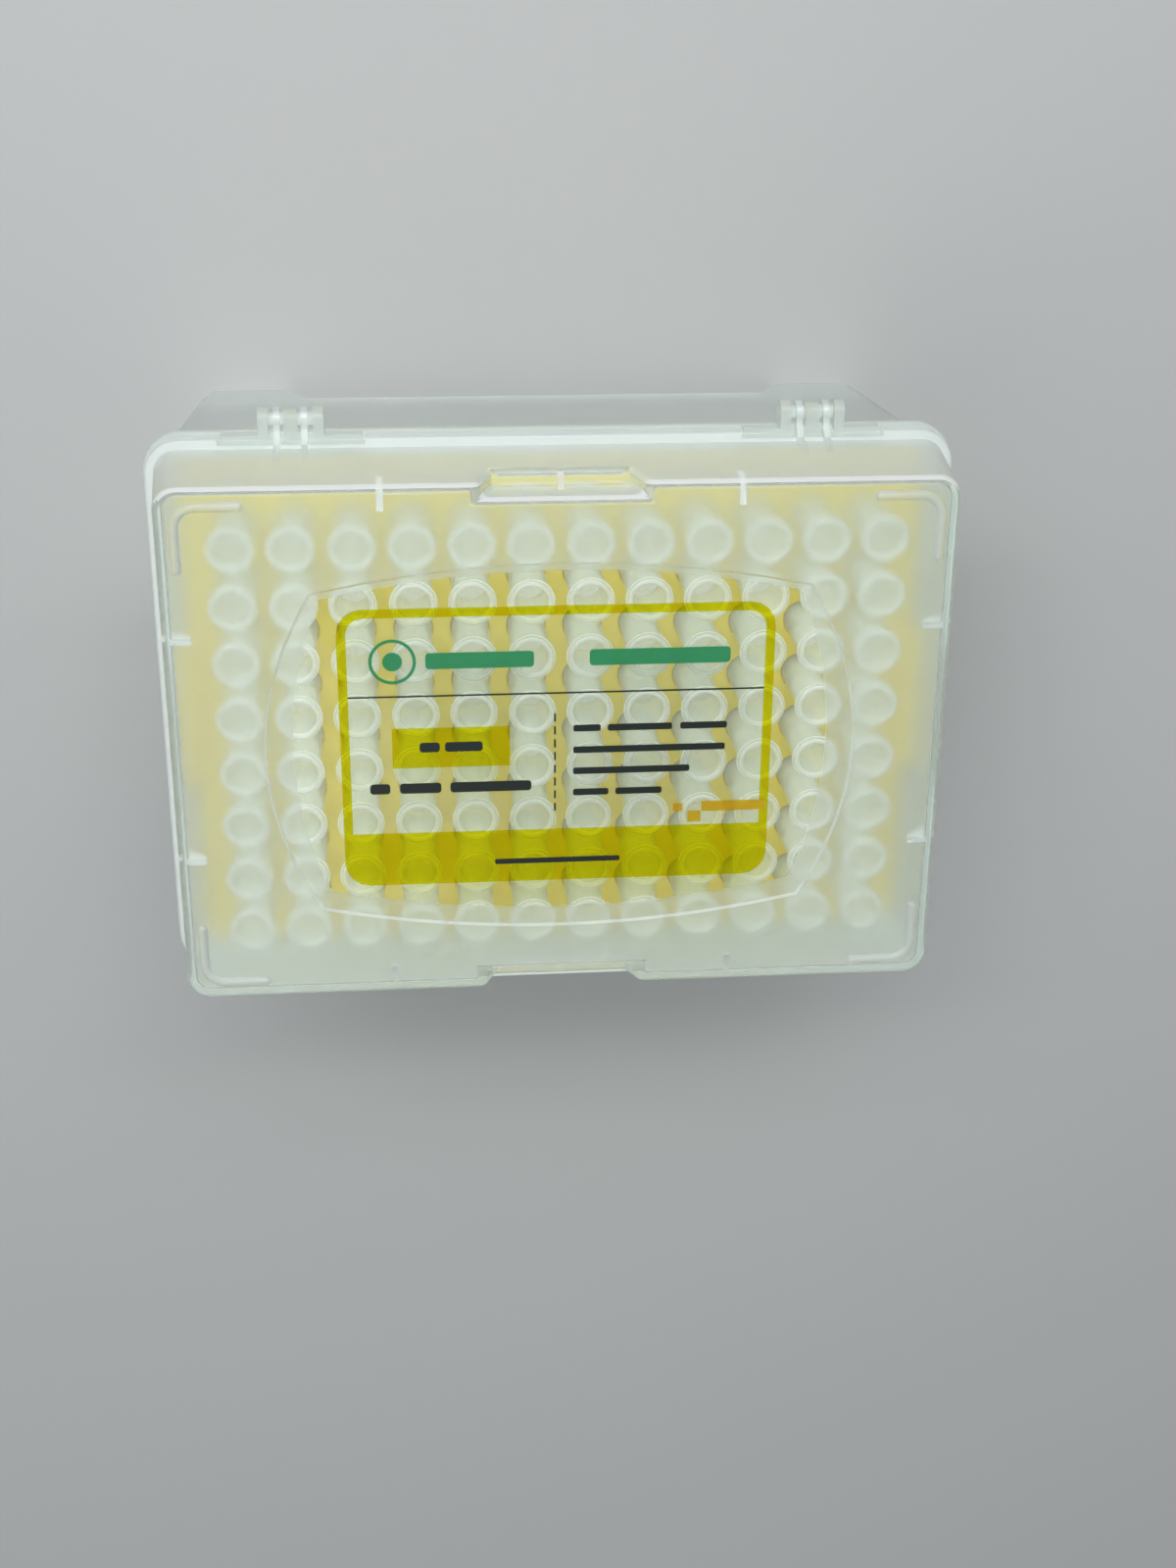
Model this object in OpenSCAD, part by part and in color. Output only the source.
// Hinged box of filter pipette tips: base, deck, lid, label, tips and their filters.
// Millimetres. The origin is on the surface the box stands on, under the middle of the tip grid.
// +Z is up through the lid, +X runs along the long side and +Y points to the hinge.

/* [Tip grid] */
// Tips along the long side
cols = 12; // [4:1:16]
// Tips along the short side
rows = 8; // [3:1:12]
// Distance between neighbouring tips
pitch = 9; // [8.6:0.1:12]

/* [Tips] */
// Length of a tip from rim to point
tip_length = 52; // [44:0.5:55]
// Radius of the rim flange
tip_rim_r = 3.7; // [3.5:0.05:4]
// Thickness of the rim flange
tip_rim_t = 0.8; // [0.5:0.1:1.5]
// Height of the mouth ring above the rim flange
tip_ring_h = 0.5; // [0.2:0.1:1]
// Radius of the mouth
tip_mouth_r = 2.65; // [2.4:0.05:2.75]
// Width of the mouth ring
tip_ring_w = 0.6; // [0.3:0.05:0.7]
// How much the bore narrows, in radius, from the mouth to the shoulder
bore_taper = 0.3; // [0.1:0.05:0.4]
// Outer radius of the collar between the rim and the shoulder
collar_r = 2.95; // [2.85:0.05:3.1]
// Length from the rim's top to the shoulder that sits in the deck
collar_l = 17.2; // [12:0.1:22]
// Outer radius of the body just under the shoulder
body_r = 2.45; // [2.2:0.05:2.6]
// Outer radius of the body half way between the shoulder and the point
waist_r = 1.9; // [1.5:0.05:2.1]
// Wall of the tip
tip_wall = 0.45; // [0.3:0.05:0.5]
// Outer radius of the tip's point
point_r = 0.6; // [0.5:0.05:0.9]
// Radius of the hole in the point
orifice_r = 0.25; // [0.2:0.05:0.35]

/* [Filters] */
// Depth of the filter's top below the rim
filter_depth = 10; // [6:0.5:11]
// Length of the filter
filter_l = 4; // [2:0.5:5]
// Gap between the filter and the bore
filter_gap = 0.02; // [0.01:0.01:0.1]

/* [Deck] */
// Thickness of the deck plate
deck_t = 2; // [1.6:0.1:3]
// Height of the deck's top above the parting plane
deck_rise = 1; // [0.5:0.1:2]
// Depth of the counterbore that the tip's shoulder sits in
seat_depth = 1.2; // [0.8:0.1:1.4]
// Gap between the collar and its counterbore
seat_gap = 0.25; // [0.1:0.05:0.4]
// Gap between the tip's body and the hole under the shoulder
hole_gap = 0.2; // [0.1:0.05:0.25]
// Gap between the deck and the lip round it
deck_gap = 0.3; // [0.15:0.05:0.6]
// Depth of the skirt under the plate
skirt_depth = 5; // [2:0.5:10]
// Wall of the skirt
skirt_t = 1; // [0.8:0.1:2]
// Gap between the skirt and the ledge round it
skirt_gap = 0.4; // [0.2:0.1:1]
// Length of the grip at each short side
grip_l = 23.4; // [12:0.2:40]
// Thickness of the grip
grip_t = 2.5; // [1.6:0.1:3]
// Height of the grip above the plate
grip_h = 2; // [1:0.1:3]
// Distance from the lip's outer face in to the grip's outer face
grip_in = 0.1; // [0:0.05:0.5]

/* [Base] */
// Height of the parting plane, where the lid's rim meets the base
base_h = 49; // [47:0.5:64]
// Wall of the base
base_wall = 1.4; // [1:0.1:2]
// How far the walls lean in from the flange to the feet
base_lean = 2.2; // [1:0.1:4]
// Plan radius of the base's corners
base_corner_r = 4; // [2.5:0.1:5]
// Thickness of the flange
flange_t = 2; // [1.6:0.1:3]
// How far the flange stands out from the lid's rim
flange_step = 0.5; // [0.2:0.1:1.5]
// How far the flange overhangs the wall
flange_overhang = 2.1; // [1.6:0.1:3]
// Width of the ledge that the deck rests on
ledge_w = 1.2; // [0.8:0.1:2]
// Height of the lip above the parting plane
lip_h = 2; // [1:0.1:3]
// Wall of the lip
lip_t = 1.2; // [0.8:0.1:1.6]
// Thickness of the raised floor
floor_t = 1.5; // [1:0.1:3]
// Gap between the tips' points and the floor
point_gap = 2.5; // [1:0.1:4]
// Drop from the floor's underside to the top of the arches between the feet
arch_drop = 1; // [0.5:0.1:2]
// Length of a foot along the long side, at the bottom
foot_l = 15.2; // [8:0.1:20]
// Length of a foot along the short side, at the bottom
foot_w = 12; // [6:0.1:14]
// How far a foot's side slants over the height of the arch
foot_slant = 4; // [0:0.1:5]

/* [Lid] */
// Distance from the outer tips' centres to the edge of the lid's face
face_margin = 10.5; // [9:0.1:16]
// Plan radius of the lid's face
face_corner_r = 3; // [2.4:0.1:6]
// Rounding of the edge round the face
edge_r = 1; // [0.4:0.1:1.4]
// How far the walls lean out from the face to the rim
lid_lean = 1.6; // [0.8:0.1:2.4]
// Wall of the lid
lid_wall = 1.2; // [0.8:0.1:1.4]
// Thickness of the lid's top
top_t = 1.2; // [1:0.1:2]
// Free height above the tips
head_room = 1.8; // [1:0.1:5]
// How far the rim stands out from the wall's foot
rim_out = 1.2; // [0.8:0.1:2]
// Height of the rim
rim_h = 3; // [2:0.1:5]
// Gap between the lid's wall and the base's lip, at the parting plane
lid_gap = 0.5; // [0.45:0.05:0.8]
// Length of the front lip for the thumb
thumb_l = 30; // [16:1:50]
// How far the thumb lip reaches out from the rim
thumb_reach = 4.5; // [2:0.1:8]
// Thickness of the thumb lip
thumb_t = 1.6; // [1:0.1:2]
// Corner radius of the thumb lip
thumb_r = 2.5; // [1:0.1:4]

/* [Face details] */
// Half length of the clear window between its corners
window_half_l = 37.7; // [34:0.1:42]
// Half width of the clear window between its corners
window_half_w = 25.9; // [23.5:0.1:29]
// How far the window's short sides bulge out
window_bulge_l = 7.8; // [1:0.1:10]
// How far the window's long sides bulge out
window_bulge_w = 4.1; // [1:0.1:6]
// Shift of the window towards the hinge
window_shift = -0.7; // [-2:0.1:2]
// Depth of the window below the face
window_depth = 0.3; // [0.2:0.05:0.5]
// Radius of the half-round bead at each corner
bead_r = 0.75; // [0.4:0.05:1]
// Distance from the face's edge to the middle of the bead
bead_inset = 2.9; // [2.2:0.1:4]
// Length of each arm of the bead, from its corner
bead_l = 9.5; // [6:0.1:20]
// Plan radius of the bead's bend
bead_bend_r = 3.2; // [2:0.1:5]
// Length of a finger recess at the face
recess_l = 25.6; // [16:0.1:40]
// Depth of a finger recess from the long edge
recess_in = 2.2; // [1.4:0.1:3]
// Height of a finger recess
recess_h = 6; // [3:0.1:8]
// How far each end of a finger recess slants in
recess_slant = 2.7; // [0:0.1:4]
// Height of the rib that stiffens the floor of a finger recess
recess_rib_h = 2; // [0.5:0.1:4]
// Distance of the gussets on the long walls from the middle
gusset_x = 27; // [20:0.5:36]
// Distance of the gussets on the short walls from the middle
gusset_y = 18.2; // [15:0.1:22]
// Thickness of a gusset
gusset_t = 1; // [0.6:0.1:1.6]
// How far a gusset stands in from the wall
gusset_in = 3; // [1.5:0.1:4]
// Height of a gusset under the top
gusset_h = 4; // [2:0.1:8]
// Height of a gusset at its inner end
gusset_end_h = 0.8; // [0.4:0.1:2]

/* [Label] */
// Length of the label
label_l = 67; // [40:0.5:72]
// Width of the label
label_w = 46; // [30:0.5:48]
// Corner radius of the label
label_r = 4; // [1:0.1:6]
// Thickness of the label
label_t = 0.15; // [0.1:0.05:0.2]
// Shift of the label along the long side
label_shift = -0.8; // [-2:0.1:2]

/* [Hinges] */
// Distance from the end of the rim to the middle of a hinge
hinge_inset = 22.5; // [18:0.1:30]
// How far the axle lies behind the lid's rim
hinge_out = 2.6; // [2.3:0.1:3.2]
// Height of the axle above the parting plane
hinge_rise = 0.5; // [0.2:0.1:1]
// Radius of the axle
axle_r = 1; // [0.8:0.05:1.1]
// Running gap between the axle and a snap eye
axle_gap = 0.05; // [0.03:0.01:0.1]
// Radius of an ear's round end
ear_r = 1.9; // [1.7:0.1:2]
// Thickness of an ear
ear_t = 1.6; // [1:0.1:2.4]
// Radius of a snap eye
eye_r = 1.85; // [1.7:0.05:2]
// Thickness of a lid arm
arm_t = 1; // [0.8:0.1:1.6]
// Width of the snap eye's mouth
mouth_w = 1.4; // [1:0.1:1.5]
// Thickness of the lug between the arms
lug_t = 2.1; // [1.5:0.1:3]
// Radius of the lug's round end
lug_r = 1.5; // [1.2:0.05:1.8]
// Gap between the lug and an arm
lug_gap = 0.55; // [0.3:0.05:1]
// Gap between an arm and an ear
ear_gap = 0.8; // [0.3:0.05:1.2]
// Length of the bracket pad at each hinge
pad_l = 21.6; // [16:0.2:26]
// Height of the bracket pad's top above the axle
pad_rise = 1.7; // [0.5:0.1:2.2]
// How far the root of an ear reaches below the flange
ear_drop = 2; // [0.5:0.5:6]
// Width of rim left on the lid's wall at a hinge bracket
rim_left = 0.3; // [0.2:0.1:0.4]
// Height that an arm's rib climbs up the lid's wall from the rim's top
arm_rib_h = 5.8; // [3:0.1:8]
// Drop of the rib's top from the wall to its outer edge
arm_rib_slant = 1; // [0:0.1:2]

/* [Hidden] */
$fn = 48;
hull_fn = 32;
slab = 0.02;
// overlap of joined shapes, and overrun of cuts
bite = 0.5;
// gap between neighbours that turn past each other
swing_gap = 0.4;
// smallest plan radius of an inner corner
least_r = 0.5;

clear_colour = [0.86, 0.90, 0.88, 0.55];
yellow_colour = [0.95, 0.80, 0.18];
tip_colour = [0.93, 0.95, 0.94, 0.8];
filter_colour = [0.97, 0.97, 0.95];
label_colour = [0.93, 0.80, 0.05, 0.6];

// Plan half sizes
grid_half = [(cols - 1) / 2 * pitch, (rows - 1) / 2 * pitch];
face_half = grid_half + [face_margin, face_margin];
foot_half = face_half + [lid_lean, lid_lean];
rim_half = foot_half + [rim_out, rim_out];
flange_half = rim_half + [flange_step, flange_step];
wall_half = flange_half - [flange_overhang, flange_overhang];
bottom_half = wall_half - [base_lean, base_lean];
lip_half = foot_half - [lid_wall + lid_gap, lid_wall + lid_gap];
seat_half = lip_half - [lip_t, lip_t];
deck_half = seat_half - [deck_gap, deck_gap];
ledge_half = deck_half - [ledge_w, ledge_w];
skirt_half = ledge_half - [skirt_gap, skirt_gap];

// Plan radii that go with them
foot_r = face_corner_r + lid_lean;
rim_r = foot_r + rim_out;
flange_r = rim_r + flange_step;
lip_r = foot_r - lid_wall - lid_gap;
seat_r = max(lip_r - lip_t, least_r);

// Heights
deck_z = base_h + deck_rise;
plate_z = deck_z - deck_t;
shoulder_z = deck_z - seat_depth;
rim_z = shoulder_z + collar_l;
ceiling_z = rim_z + head_room;
top_z = ceiling_z + top_t;
flange_z = base_h - flange_t;
floor_z = rim_z - tip_length - point_gap;
under_z = floor_z - floor_t;
arch_z = under_z - arch_drop;
window_z = top_z - window_depth;

// Deck holes
hole_r = body_r + hole_gap;
counterbore_r = collar_r + seat_gap;

// Grips at the deck's ends, and the notches in the lip that they fill
grip_x = lip_half[0] - grip_in;
grip_notch_l = grip_l + 2 * deck_gap;

// Hinges
hinge_x = rim_half[0] - hinge_inset;
hinge_y = rim_half[1] + hinge_out;
hinge_z = base_h + hinge_rise;
arm_x = lug_t / 2 + lug_gap;
ear_x = arm_x + arm_t + ear_gap;
rim_cut_y = foot_half[1] + rim_left;
pad_y = rim_cut_y + 2 * swing_gap;
pad_top_z = hinge_z + pad_rise;
ear_root_z = flange_z - ear_drop;
arm_z = base_h + swing_gap;

TIP_NODES = [for (c = [1:cols]) column_name("tips_column_", c)];
FILTER_NODES = [for (c = [1:cols]) column_name("filters_column_", c)];

function column_name(stem, c) = str(stem, c < 10 ? "0" : "", c);
function column_x(c) = (c - 1) * pitch - grid_half[0];
function row_y(r) = (r - 1) * pitch - grid_half[1];

// Bore radius of a tip's collar at a depth below the rim
function bore_r(depth) = tip_mouth_r - bore_taper * depth / collar_l;

// Radius of an arc from its half chord and its rise
function arc_radius(half, rise) = (half * half + rise * rise) / (2 * rise);

module rounded_rect(half, r) {
    square([2 * (half[0] - r), 2 * half[1]], center = true);
    square([2 * half[0], 2 * (half[1] - r)], center = true);
    for (sx = [-1, 1], sy = [-1, 1])
        translate([sx * (half[0] - r), sy * (half[1] - r)]) circle(r);
}

module plate(z, t, half, r) {
    translate([0, 0, z]) linear_extrude(t) rounded_rect(half, r);
}

// Solid with leaning walls: each level is [height, plan half size, plan radius], lowest first
module leaning_block(levels) {
    top = levels[len(levels) - 1][0];
    hull() for (level = levels)
        translate([0, 0, min(level[0], top - slab)])
            linear_extrude(slab) rounded_rect(level[1], level[2], $fn = hull_fn);
}

// The same shape in all four quarters of the plan
module quarters() {
    for (sx = [0, 1], sy = [0, 1]) mirror([sx, 0, 0]) mirror([0, sy, 0]) children();
}

// Slice of a part seen from the end of the X axis: the child is drawn as [y, z]
module slice_x(x0, x1) {
    translate([x0, 0, 0]) rotate([90, 0, 90]) linear_extrude(x1 - x0) children();
}

// Slice of a part seen from the front: the child is drawn as [x, z], from y0 back to y1
module slice_y(y0, y1) {
    translate([0, y1, 0]) rotate([90, 0, 0]) linear_extrude(y1 - y0) children();
}

module at_hinges() {
    for (side = [-1, 1]) translate([side * hinge_x, 0, 0]) children();
}

// ---- base ----

function base_half(z) = bottom_half + [base_lean, base_lean] * (z / flange_z);

module base_block(z0, z1, inset) {
    shrink = [inset, inset];
    leaning_block([
        [z0, base_half(z0) - shrink, base_corner_r - inset],
        [z1, base_half(z1) - shrink, base_corner_r - inset]
    ]);
}

// Opening between two feet, drawn across a side of the given half length
module arch(half, foot) {
    low = half - foot;
    high = low - foot_slant;
    polygon([[-low, -1], [-low, 0], [-high, arch_z], [high, arch_z], [low, 0], [low, -1]]);
}

module grip_notches() {
    for (side = [0, 1]) mirror([side, 0, 0])
        translate([seat_half[0] - bite, -grip_notch_l / 2, plate_z])
            cube([grip_x + deck_gap - seat_half[0] + bite, grip_notch_l, base_h]);
}

// One ear or the lug, drawn as [y, z], with a round end at the axle
module bracket_outline(end_r) {
    root_y = wall_half[1] - base_wall / 2;
    polygon([
        [root_y, ear_root_z], [hinge_y, hinge_z - end_r], [hinge_y, hinge_z + end_r],
        [pad_y + bite, hinge_z + end_r], [pad_y + bite, base_h - bite], [root_y, base_h - bite]
    ]);
    translate([hinge_y, hinge_z]) circle(end_r);
}

module hinge_bracket() {
    for (side = [0, 1]) mirror([side, 0, 0]) {
        slice_x(ear_x, ear_x + ear_t) bracket_outline(ear_r);
        translate([ear_x, pad_y, flange_z])
            cube([pad_l / 2 - ear_x, flange_half[1] - pad_y, pad_top_z - flange_z]);
    }
    slice_x(-lug_t / 2, lug_t / 2) bracket_outline(lug_r);
    translate([-ear_x - bite, hinge_y, hinge_z]) rotate([0, 90, 0])
        cylinder(r = axle_r, h = 2 * (ear_x + bite));
}

// Room in the flange for the snap eyes
module eye_reliefs() {
    y0 = hinge_y - eye_r - swing_gap;
    for (side = [0, 1]) mirror([side, 0, 0])
        translate([lug_t / 2, y0, flange_z - bite])
            cube([ear_x - lug_t / 2, flange_half[1] - y0 + bite, flange_t + 2 * bite]);
}

module base() {
    color(clear_colour) union() {
        difference() {
            union() {
                base_block(0, flange_z + bite, 0);
                plate(flange_z, flange_t, flange_half, flange_r);
                plate(base_h - bite, lip_h + bite, lip_half, lip_r);
            }
            base_block(-1, under_z, base_wall);
            base_block(floor_z, flange_z, base_wall);
            plate(flange_z - bite, flange_t, ledge_half, seat_r);
            plate(plate_z, base_h, seat_half, seat_r);
            slice_y(-wall_half[1], wall_half[1]) arch(bottom_half[0], foot_l);
            slice_x(-wall_half[0], wall_half[0]) arch(bottom_half[1], foot_w);
            grip_notches();
            at_hinges() eye_reliefs();
        }
        at_hinges() hinge_bracket();
    }
}

// ---- deck ----

module deck() {
    color(yellow_colour) difference() {
        union() {
            plate(plate_z, deck_t, deck_half, seat_r);
            for (side = [0, 1]) mirror([side, 0, 0])
                translate([grip_x - grip_t, -grip_l / 2, plate_z]) cube([grip_t, grip_l, deck_t + grip_h]);
            difference() {
                plate(plate_z - skirt_depth, skirt_depth + bite, skirt_half, seat_r);
                plate(plate_z - skirt_depth - 1, skirt_depth + 1, skirt_half - [skirt_t, skirt_t], seat_r);
            }
        }
        for (c = [1:cols], r = [1:rows]) translate([column_x(c), row_y(r), 0]) {
            translate([0, 0, plate_z - bite]) cylinder(r = hole_r, h = deck_t + 2 * bite);
            translate([0, 0, shoulder_z]) cylinder(r = counterbore_r, h = deck_t);
        }
    }
}

// ---- lid ----

// Two arcs back to back, along the X axis: a lens that bulges by the rise over the half chord
module lens(half, reach, rise) {
    r = arc_radius(half, rise);
    intersection_for (side = [0, 1]) mirror([0, side]) translate([0, reach + rise - r]) circle(r);
}

// Outline of the window: a rectangle with all four sides bulging
module window_outline() {
    translate([0, window_shift]) intersection() {
        lens(window_half_l, window_half_w, window_bulge_w);
        rotate(90) lens(window_half_w, window_half_l, window_bulge_l);
    }
}

// The lid's outer form, or its inside when inset, with a rounded edge round the top
module lid_block(z0, z1, inset, round_r) {
    foot = foot_half - [inset, inset];
    face = face_half - [inset, inset];
    r = face_corner_r - inset;
    leaning_block(concat(
        [[z0, foot, r + lid_lean]],
        [for (a = [0:22.5:90])
            let (s = round_r * (1 - cos(a)))
                [z1 - round_r * (1 - sin(a)), face - [s, s], max(r - s, least_r)]]
    ));
}

module thumb_lip() {
    z = base_h + rim_h - thumb_t;
    half = [thumb_l / 2, thumb_reach + bite];
    translate([0, -rim_half[1] + bite, 0]) plate(z, thumb_t, half, thumb_r);
}

// Finger recess drawn as [x, z]; grow thickens it into the wall that lines it
module recess_outline(grow = 0) {
    z0 = top_z - recess_h - grow;
    half = recess_l / 2 + grow;
    z1 = grow > 0 ? ceiling_z + bite : top_z + 1;
    polygon([[-half + recess_slant, z0], [half - recess_slant, z0], [half, z1], [-half, z1]]);
}

module both_long_sides() {
    for (side = [0, 1]) mirror([0, side, 0]) children();
}

module recess_linings() {
    y1 = face_half[1] - recess_in;
    both_long_sides() slice_y(y1 - lid_wall, face_half[1] - bite) recess_outline(lid_wall);
}

// Rib on the floor of a finger recess, drawn as [y, z]
module recess_rib_outline(y1) {
    z = top_z - recess_h;
    polygon([
        [y1 - bite, z - bite], [face_half[1], z - bite],
        [face_half[1], z], [y1, z + recess_rib_h], [y1 - bite, z + recess_rib_h]
    ]);
}

module recess_cuts() {
    y1 = face_half[1] - recess_in;
    both_long_sides() difference() {
        slice_y(y1, rim_half[1]) recess_outline();
        slice_x(-gusset_t / 2, gusset_t / 2) recess_rib_outline(y1);
    }
}

// Triangle against a wall whose inner face is at the given distance, drawn as [distance, z]
module gusset_outline(wall_in) {
    root = wall_in + lid_wall / 2;
    polygon([[wall_in - gusset_in, ceiling_z + bite], [root, ceiling_z + bite], [root, ceiling_z - gusset_h],
             [wall_in - gusset_in, ceiling_z - gusset_end_h]]);
}

module gussets() {
    for (sx = [-1, 1], side = [0, 1]) mirror([0, side, 0])
        slice_x(sx * gusset_x - gusset_t / 2, sx * gusset_x + gusset_t / 2)
            gusset_outline(face_half[1] - lid_wall);
    for (sy = [-1, 1], side = [0, 1]) mirror([side, 0, 0])
        slice_y(sy * gusset_y - gusset_t / 2, sy * gusset_y + gusset_t / 2)
            gusset_outline(face_half[0] - lid_wall);
}

// L-shaped half-round bead near each corner of the face
module corner_beads() {
    corner = face_half - [bead_inset, bead_inset];
    arm = bead_l - bead_bend_r;
    bend = corner - [bead_bend_r, bead_bend_r];
    quarters() translate([0, 0, top_z]) {
        translate([bend[0], bend[1], 0]) rotate_extrude(angle = 90)
            translate([bead_bend_r, 0]) circle(bead_r);
        translate([bend[0] - arm, corner[1], 0]) rotate([0, 90, 0]) cylinder(r = bead_r, h = arm);
        translate([corner[0], bend[1] - arm, 0]) rotate([-90, 0, 0]) cylinder(r = bead_r, h = arm);
        translate([bend[0] - arm, corner[1], 0]) sphere(bead_r);
        translate([corner[0], bend[1] - arm, 0]) sphere(bead_r);
    }
}

// Clearance in the rim for a hinge bracket
module hinge_rim_cut() {
    half = pad_l / 2 + swing_gap;
    translate([-half, rim_cut_y, base_h - bite]) cube([2 * half, rim_out + 1, rim_h + 1]);
}

// Rib up the wall that reaches out to a snap eye, drawn as [y, z]
module arm_outline() {
    root_y = face_half[1] - lid_wall / 4;
    rim_top = base_h + rim_h;
    rib_top = rim_top + arm_rib_h;
    polygon([
        [root_y, arm_z], [hinge_y, arm_z], [hinge_y, hinge_z + eye_r],
        [hinge_y - eye_r, rim_top], [rim_cut_y, rib_top - arm_rib_slant], [root_y, rib_top]
    ]);
    translate([hinge_y, hinge_z]) circle(eye_r);
}

module hinge_arms() {
    for (side = [0, 1]) mirror([side, 0, 0]) difference() {
        slice_x(arm_x, arm_x + arm_t) arm_outline();
        translate([arm_x - bite, hinge_y, hinge_z]) rotate([0, 90, 0])
            cylinder(r = axle_r + axle_gap, h = arm_t + 2 * bite);
        translate([arm_x - bite, hinge_y - mouth_w / 2, hinge_z - 2 * eye_r])
            cube([arm_t + 2 * bite, mouth_w, 2 * eye_r]);
    }
}

module lid() {
    color(clear_colour) difference() {
        union() {
            difference() {
                union() {
                    lid_block(base_h, top_z, 0, edge_r);
                    difference() {
                        plate(base_h, rim_h, rim_half, rim_r);
                        at_hinges() hinge_rim_cut();
                    }
                    thumb_lip();
                    at_hinges() hinge_arms();
                }
                lid_block(base_h - 1, ceiling_z, lid_wall, edge_r / 2);
            }
            recess_linings();
            gussets();
            corner_beads();
        }
        recess_cuts();
        translate([0, 0, window_z]) linear_extrude(window_depth + 1) window_outline();
    }
}

// ---- label, tips and filters ----

module label() {
    color(label_colour) translate([label_shift, 0, 0])
        plate(window_z, label_t, [label_l, label_w] / 2, label_r);
}

// One tip with its rim's top at height 0
module tip() {
    ring_r = tip_mouth_r + tip_ring_w;
    waist_z = -(collar_l + tip_length) / 2;
    rotate_extrude() polygon([
        [tip_mouth_r, 0], [ring_r, 0], [ring_r, -tip_ring_h], [tip_rim_r, -tip_ring_h],
        [tip_rim_r, -tip_ring_h - tip_rim_t], [collar_r, -tip_ring_h - 2 * tip_rim_t],
        [collar_r, -collar_l], [body_r, -collar_l], [waist_r, waist_z], [point_r, -tip_length],
        [orifice_r, -tip_length], [waist_r - tip_wall, waist_z], [body_r - tip_wall, -collar_l],
        [bore_r(collar_l - 1), -collar_l + 1]
    ]);
}

module filter_plug() {
    low = filter_depth + filter_l;
    rotate_extrude() polygon([
        [0, -filter_depth], [bore_r(filter_depth) - filter_gap, -filter_depth],
        [bore_r(low) - filter_gap, -low], [0, -low]
    ]);
}

module in_column(c) {
    for (r = [1:rows]) translate([column_x(c), row_y(r), rim_z]) children();
}

module tips_column(c) {
    color(tip_colour) in_column(c) tip();
}

module filters_column(c) {
    color(filter_colour) in_column(c) filter_plug();
}

base();
deck();
lid();
label();
for (c = [1:cols]) tips_column(c);
for (c = [1:cols]) filters_column(c);
